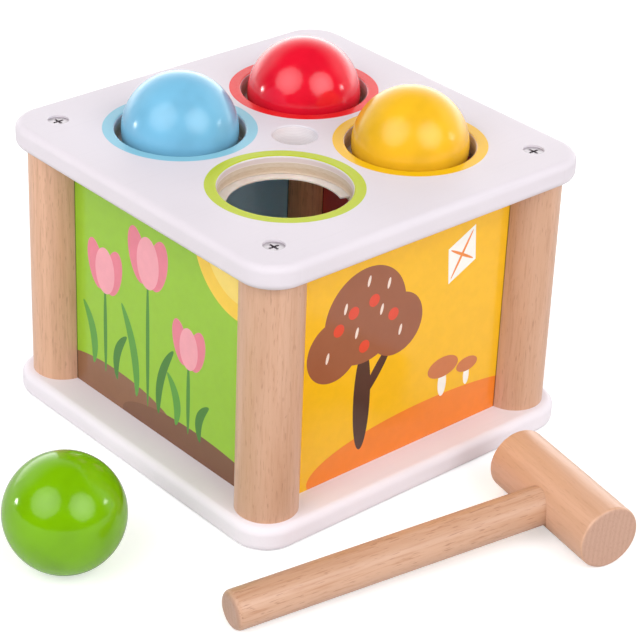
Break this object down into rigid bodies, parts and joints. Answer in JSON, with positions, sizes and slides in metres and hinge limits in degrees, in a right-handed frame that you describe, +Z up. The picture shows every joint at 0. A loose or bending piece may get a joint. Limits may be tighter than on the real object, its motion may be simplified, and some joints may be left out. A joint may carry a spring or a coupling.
{
  "type": "ball pounding toy",
  "caption": "Square wooden box on round corner posts, with balls seated in spring rings in its top that a mallet drives through, and a ramp and arch where they roll out.",
  "frame": {"origin": "centre of the underside of the base plate", "axes": "+Z up; -X the green side, -Y the yellow side, +X the red side with the exit arch, +Y the blue side"},
  "size_m": [0.238, 0.2418, 0.1403],
  "materials": {
    "white_paint": "satin paint",
    "beech": "clear satin lacquer",
    "green_print": "printed satin",
    "yellow_print": "printed satin",
    "blue_print": "printed satin",
    "red_print": "printed satin",
    "nylon": "moulded",
    "green_lacquer": "gloss lacquer",
    "blue_lacquer": "gloss lacquer",
    "red_lacquer": "gloss lacquer",
    "yellow_lacquer": "gloss lacquer",
    "plywood": "sanded",
    "steel": "zinc plated"
  },
  "bodies": {
    "box": {"base_plate": "white_paint", "top_plate": "white_paint", "post_front": "beech", "post_left": "beech", "post_right": "beech", "post_back": "beech", "panel_green": "green_print", "panel_yellow": "yellow_print", "panel_blue": "blue_print", "panel_red": "red_print", "retaining_ring_green": "nylon", "retaining_ring_blue": "nylon", "retaining_ring_red": "nylon", "retaining_ring_yellow": "nylon", "ramp_board_left": "plywood", "ramp_board_right": "plywood", "ramp_keel": "beech", "ramp_cheek_left": "beech", "ramp_cheek_right": "beech", "top_screws": "steel", "base_screws": "steel"},
    "ball_green": {"ball_green": "green_lacquer"},
    "ball_blue": {"ball_blue": "blue_lacquer"},
    "ball_red": {"ball_red": "red_lacquer"},
    "ball_yellow": {"ball_yellow": "yellow_lacquer"},
    "hammer": {"hammer_head": "beech", "hammer_handle": "beech"}
  },
  "joints": [
    {"name": "ball_blue_drop", "type": "slide", "parent": "box", "child": "ball_blue", "axis": [0, 0, 1], "range_m": [-0.063, 0.03], "deforming": ["retaining_ring_blue"]},
    {"name": "ball_red_drop", "type": "slide", "parent": "box", "child": "ball_red", "axis": [0, 0, 1], "range_m": [-0.0692, 0.03], "deforming": ["retaining_ring_red"]},
    {"name": "ball_yellow_drop", "type": "slide", "parent": "box", "child": "ball_yellow", "axis": [0, 0, 1], "range_m": [-0.0705, 0.03], "deforming": ["retaining_ring_yellow"]},
    {"name": "ball_green_lift", "type": "slide", "parent": "box", "child": "ball_green", "axis": [0, 0, 1], "range_m": [0, 0.12]},
    {"name": "hammer_lift", "type": "slide", "parent": "box", "child": "hammer", "axis": [0, 0, 1], "range_m": [0, 0.12]}
  ]
}
